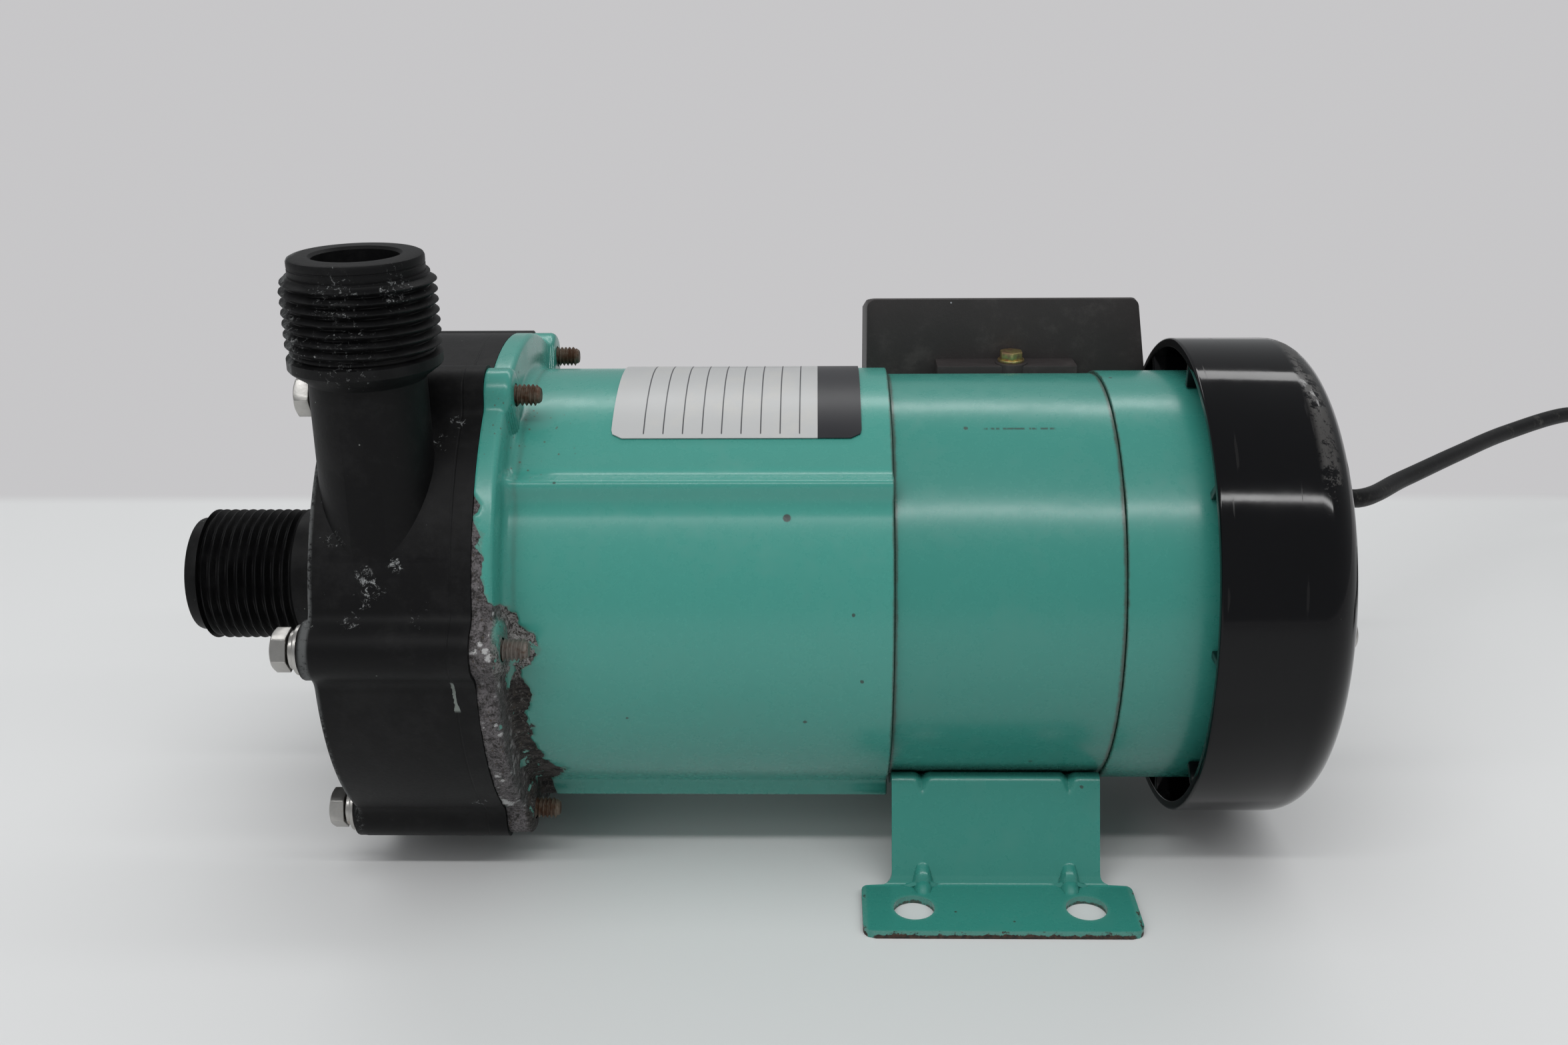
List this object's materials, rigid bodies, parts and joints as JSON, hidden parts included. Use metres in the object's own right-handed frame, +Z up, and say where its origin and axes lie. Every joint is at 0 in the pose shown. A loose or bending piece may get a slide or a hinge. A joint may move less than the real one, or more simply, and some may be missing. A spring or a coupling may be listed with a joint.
{
  "type": "magnetic drive pump",
  "caption": "Magnetic drive pump with a threaded axial inlet, a threaded upward outlet, a round induction motor, a terminal box and a pressed steel foot.",
  "frame": {"origin": "on the floor under the middle of the pump's own box, its lead left out", "axes": "+X along the shaft towards the fan, so that the inlet is at -X; +Z up, towards the outlet's mouth; -Y is the side that the outlet is on"},
  "size_m": [0.4163, 0.2351, 0.1247],
  "materials": {
    "casing_black": "moulded glass-filled polypropylene, matt black, scuffed",
    "motor_green": "semi-gloss sea green paint over cast and rolled metal",
    "foot_green": "green paint on pressed steel, rust at the edges",
    "cover_black": "glossy black moulding",
    "box_black": "satin black moulding",
    "steel": "bright stainless fasteners with some staining",
    "yellow_zinc": "yellow passivated zinc",
    "lamination": "stacked electrical steel",
    "winding": "enamelled copper, tied",
    "ceramic": "dense white ceramic",
    "carbon": "carbon-filled bearing material",
    "magnet": "ferrite",
    "seal": "matt black rubber",
    "lead": "black sheath, satin",
    "blank_plate": "pale printed foil without text",
    "can": "bare drawn can"
  },
  "bodies": {
    "pump_body": {"base_foot": "foot_green", "bracket": "motor_green", "casing_bolt_1": "steel", "casing_bolt_2": "steel", "casing_bolt_3": "steel", "casing_bolt_4": "steel", "casing_bolt_5": "steel", "casing_bolt_6": "steel", "casing_o_ring": "seal", "casing_washer_1": "steel", "casing_washer_2": "steel", "casing_washer_3": "steel", "casing_washer_4": "steel", "casing_washer_5": "steel", "casing_washer_6": "steel", "fan_cover": "cover_black", "fan_cover_screw_1": "steel", "fan_cover_screw_2": "steel", "fan_cover_screw_3": "steel", "front_bearing_balls": "steel", "front_bearing_outer_ring": "steel", "front_casing": "casing_black", "front_thrust_ring": "ceramic", "front_winding": "winding", "lead_coil": "lead", "mouth_ring": "ceramic", "plug_body": "lead", "plug_pin_left": "steel", "plug_pin_right": "steel", "power_lead": "lead", "power_lead_tail": "lead", "rating_plate": "blank_plate", "rear_bearing_balls": "steel", "rear_bearing_outer_ring": "steel", "rear_casing": "casing_black", "rear_end_bracket": "motor_green", "rear_thrust_ring": "ceramic", "rear_winding": "winding", "run_capacitor": "can", "spindle": "ceramic", "stator_core": "lamination", "stator_housing": "motor_green", "strain_relief": "seal", "terminal_block": "blank_plate", "terminal_box": "box_black", "terminal_box_screw": "yellow_zinc"},
    "motor_rotor": {"motor_shaft": "steel", "rotor_core": "lamination", "drive_yoke": "steel", "yoke_set_screw": "steel", "drive_magnet": "magnet", "cooling_fan": "box_black", "front_bearing_inner_ring": "steel", "rear_bearing_inner_ring": "steel"},
    "impeller_unit": {"impeller": "casing_black", "magnet_capsule": "casing_black", "driven_magnet": "magnet", "impeller_bush": "carbon"}
  },
  "joints": [
    {"name": "rotor_spin", "type": "hinge", "parent": "pump_body", "child": "motor_rotor", "pos_m": [0.0491, -0.00456, 0.0525], "axis": [1, 0, 0], "continuous": true},
    {"name": "impeller_spin", "type": "hinge", "parent": "pump_body", "child": "impeller_unit", "pos_m": [-0.0509, -0.00456, 0.0525], "axis": [1, 0, 0], "continuous": true}
  ],
  "couplings": [
    {"joint": "impeller_spin", "follows": "rotor_spin", "ratio": 1}
  ]
}
